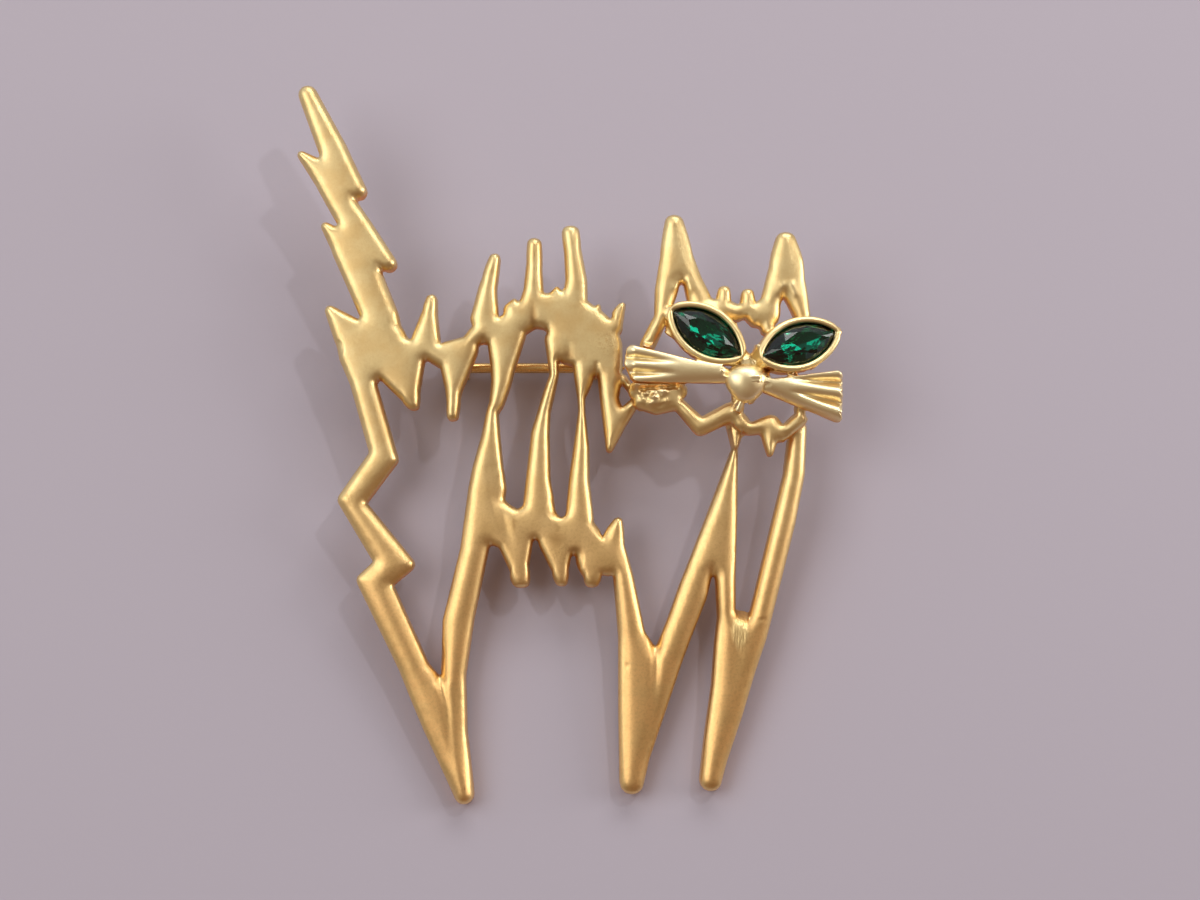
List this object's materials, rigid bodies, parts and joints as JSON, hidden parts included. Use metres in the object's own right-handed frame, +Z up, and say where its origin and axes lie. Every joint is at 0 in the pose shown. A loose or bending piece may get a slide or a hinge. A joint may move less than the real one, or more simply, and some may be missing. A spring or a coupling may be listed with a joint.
{
  "type": "cat brooch",
  "caption": "Openwork cat brooch in matte gold-coloured metal with a zigzag tail, green navette stone eyes and a pin behind.",
  "frame": {"origin": "on the surface under the middle of the brooch's box as it lies face up on its hind foot and its pin", "axes": "+Z up out of the surface, +Y from the feet to the tail tip, +X from the tail to the face"},
  "size_m": [0.0533, 0.0702, 0.0108],
  "materials": {
    "gold_plate": "matte gold plating, satin faces and burnished edges",
    "green_glass": "faceted emerald green glass with a foiled back",
    "pin_wire": "polished gold-coloured wire"
  },
  "bodies": {
    "root": {"cat_casting": "gold_plate", "eye_stone_left": "green_glass", "eye_stone_right": "green_glass", "pin_back": "pin_wire"}
  },
  "joints": []
}
